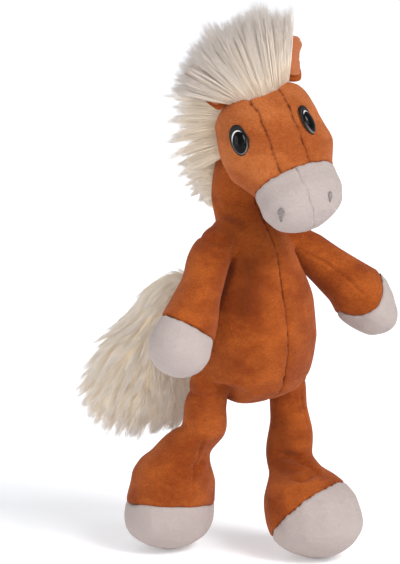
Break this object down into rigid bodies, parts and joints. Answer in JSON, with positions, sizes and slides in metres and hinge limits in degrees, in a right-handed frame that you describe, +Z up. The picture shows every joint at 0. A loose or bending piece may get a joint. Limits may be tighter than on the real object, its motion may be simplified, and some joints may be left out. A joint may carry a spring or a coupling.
{
  "type": "plush horse",
  "caption": "Stuffed toy horse that stands upright on boot-shaped feet, with floppy limbs, a turning head, ears and tail of soft fabric and long fur.",
  "frame": {"origin": "on the floor, under the middle of the toy's box", "axes": "+Z up, -Y the way the trunk faces, +X the horse's own left"},
  "size_m": [0.1762, 0.1846, 0.3497],
  "materials": {
    "brown_plush": "matte",
    "white_plush": "matte",
    "ear_lining": "matte",
    "fur": "matte",
    "filling": "matte",
    "eye_plastic": "gloss",
    "washer": "matte",
    "felt": "matte",
    "stitch_thread": "matte"
  },
  "bodies": {
    "trunk": {"trunk_panel_left": "brown_plush", "trunk_panel_right": "brown_plush", "trunk_filling": "filling", "neck_mane": "fur"},
    "neck_wad": {"neck_wad": "filling"},
    "head": {"head_side_left": "brown_plush", "head_side_right": "brown_plush", "forehead_gusset": "brown_plush", "muzzle_left": "white_plush", "muzzle_right": "white_plush", "head_filling": "filling", "left_eye": "eye_plastic", "left_eye_felt": "felt", "left_eye_washer": "washer", "right_eye": "eye_plastic", "right_eye_felt": "felt", "right_eye_washer": "washer", "left_nostril_stitch": "stitch_thread", "right_nostril_stitch": "stitch_thread", "forelock": "fur", "head_mane": "fur"},
    "left_shoulder_wad": {"left_shoulder_wad": "filling"},
    "left_arm": {"left_arm_sleeve": "brown_plush", "left_arm_hoof": "white_plush", "left_arm_filling": "filling"},
    "left_hip_wad": {"left_hip_wad": "filling"},
    "left_leg": {"left_leg_skin": "brown_plush", "left_leg_hoof": "white_plush", "left_leg_filling": "filling"},
    "left_ear": {"left_ear": "brown_plush", "left_ear_lining": "ear_lining"},
    "right_shoulder_wad": {"right_shoulder_wad": "filling"},
    "right_arm": {"right_arm_sleeve": "brown_plush", "right_arm_hoof": "white_plush", "right_arm_filling": "filling"},
    "right_hip_wad": {"right_hip_wad": "filling"},
    "right_leg": {"right_leg_skin": "brown_plush", "right_leg_hoof": "white_plush", "right_leg_filling": "filling"},
    "right_ear": {"right_ear": "brown_plush", "right_ear_lining": "ear_lining"},
    "tail": {"tail": "fur"}
  },
  "joints": [
    {"name": "head_turn", "type": "hinge", "parent": "trunk", "child": "neck_wad", "pos_m": [-0.0032, -0.006, 0.2405], "axis": [0, 0, 1], "range_deg": [-20, 30]},
    {"name": "head_nod", "type": "hinge", "parent": "neck_wad", "child": "head", "pos_m": [-0.0032, -0.006, 0.2405], "axis": [0.9397, -0.342, 0], "range_deg": [-8, 8]},
    {"name": "tail_lift", "type": "hinge", "parent": "trunk", "child": "tail", "pos_m": [-0.0032, 0.0185, 0.1525], "axis": [1, 0, 0], "range_deg": [-5, 20]},
    {"name": "left_arm_swing", "type": "hinge", "parent": "trunk", "child": "left_shoulder_wad", "pos_m": [0.0258, -0.019, 0.196], "axis": [-1, 0, 0], "range_deg": [-55, 90]},
    {"name": "left_arm_spread", "type": "hinge", "parent": "left_shoulder_wad", "child": "left_arm", "pos_m": [0.0258, -0.019, 0.196], "axis": [0, -1, 0], "range_deg": [-5, 42]},
    {"name": "left_leg_swing", "type": "hinge", "parent": "trunk", "child": "left_hip_wad", "pos_m": [0.0268, -0.014, 0.1025], "axis": [-1, 0, 0], "range_deg": [-44, 72]},
    {"name": "left_leg_spread", "type": "hinge", "parent": "left_hip_wad", "child": "left_leg", "pos_m": [0.0268, -0.014, 0.1025], "axis": [0, -1, 0], "range_deg": [0, 25]},
    {"name": "right_arm_swing", "type": "hinge", "parent": "trunk", "child": "right_shoulder_wad", "pos_m": [-0.0322, -0.019, 0.196], "axis": [-1, 0, 0], "range_deg": [-36, 109]},
    {"name": "right_arm_spread", "type": "hinge", "parent": "right_shoulder_wad", "child": "right_arm", "pos_m": [-0.0322, -0.019, 0.196], "axis": [0, 1, 0], "range_deg": [-1, 49]},
    {"name": "right_leg_swing", "type": "hinge", "parent": "trunk", "child": "right_hip_wad", "pos_m": [-0.0332, -0.014, 0.1025], "axis": [-1, 0, 0], "range_deg": [-8, 95]},
    {"name": "right_leg_spread", "type": "hinge", "parent": "right_hip_wad", "child": "right_leg", "pos_m": [-0.0332, -0.014, 0.1025], "axis": [0, 1, 0], "range_deg": [0, 25]},
    {"name": "left_ear_fold", "type": "hinge", "parent": "head", "child": "left_ear", "pos_m": [0.0078, -0.042, 0.2996], "axis": [0.9327, -0.3395, -0.1219], "range_deg": [-12, 40], "stiffness_Nm_per_rad": 0.002},
    {"name": "right_ear_fold", "type": "hinge", "parent": "head", "child": "right_ear", "pos_m": [-0.0318, -0.0276, 0.2867], "axis": [0.7092, -0.2581, 0.6561], "range_deg": [-12, 40], "stiffness_Nm_per_rad": 0.002}
  ]
}
